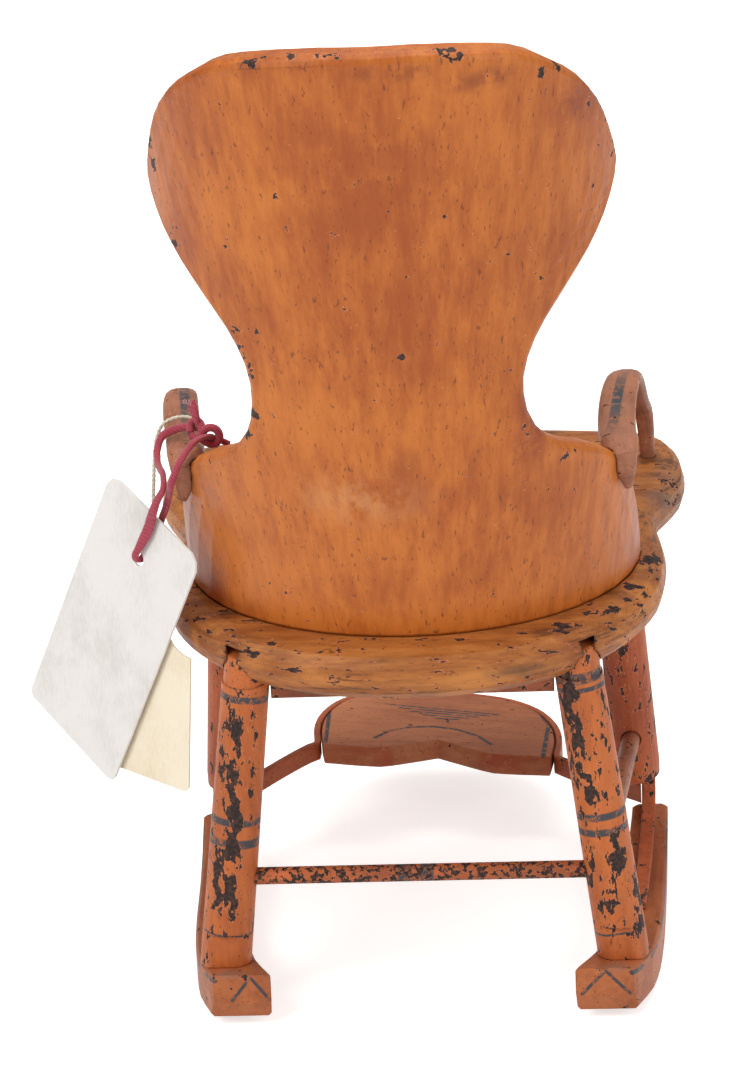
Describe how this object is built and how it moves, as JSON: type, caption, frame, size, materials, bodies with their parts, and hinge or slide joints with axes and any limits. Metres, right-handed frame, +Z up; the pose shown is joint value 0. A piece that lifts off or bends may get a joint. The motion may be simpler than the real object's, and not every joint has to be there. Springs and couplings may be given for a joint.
{
  "type": "miniature rocking chair",
  "caption": "Small painted wooden rocking chair with a bent waisted back, hooped arms, short rockers and a hooped footrest, with two blank tags tied to one arm.",
  "frame": {"origin": "on the floor under the chair, midway between the top of the back and the front of the footrest", "axes": "+Z up, +Y to the front of the chair, +X to the sitter's right"},
  "size_m": [0.2047, 0.2302, 0.2983],
  "materials": {
    "back_paint": "satin varnished paint",
    "seat_paint": "satin varnished paint",
    "leg_paint": "chipped satin paint",
    "arm_paint": "worn matt paint",
    "rail_paint": "worn matt paint",
    "rocker_paint": "worn satin paint",
    "iron": "rusted",
    "white_card": "matt card",
    "manila_card": "matt card",
    "red_cotton": "woven cotton tape",
    "pale_string": "twisted cotton"
  },
  "bodies": {
    "chair": {"seat": "seat_paint", "back_board": "back_paint", "arm_left": "arm_paint", "arm_right": "arm_paint", "rear_leg_left": "leg_paint", "rear_leg_right": "leg_paint", "front_leg_left": "leg_paint", "front_leg_right": "leg_paint", "rear_stretcher": "rail_paint", "side_stretcher_left": "arm_paint", "side_stretcher_right": "arm_paint", "rocker_left": "rocker_paint", "rocker_right": "rocker_paint", "rocker_nail_left": "iron", "rocker_nail_right": "iron", "seat_cleat": "rail_paint", "cleat_nail_left": "iron", "cleat_nail_right": "iron", "footrest_board": "rocker_paint", "footrest_hoop": "rocker_paint", "tag_tape": "red_cotton", "tag_string": "pale_string"},
    "card_tag": {"tag_card": "white_card"},
    "manila_tag": {"tag_manila": "manila_card"}
  },
  "joints": [
    {"name": "card_tag_swing", "type": "hinge", "parent": "chair", "child": "card_tag", "pos_m": [-0.0799, -0.04539, 0.1368], "axis": [-0.6655, -0.7391, 0.1045], "range_deg": [-25, 0]},
    {"name": "manila_tag_swing", "type": "hinge", "parent": "chair", "child": "manila_tag", "pos_m": [-0.07755, -0.04652, 0.12466], "axis": [-0.6655, -0.7391, 0.1045], "range_deg": [-20, 4]}
  ]
}
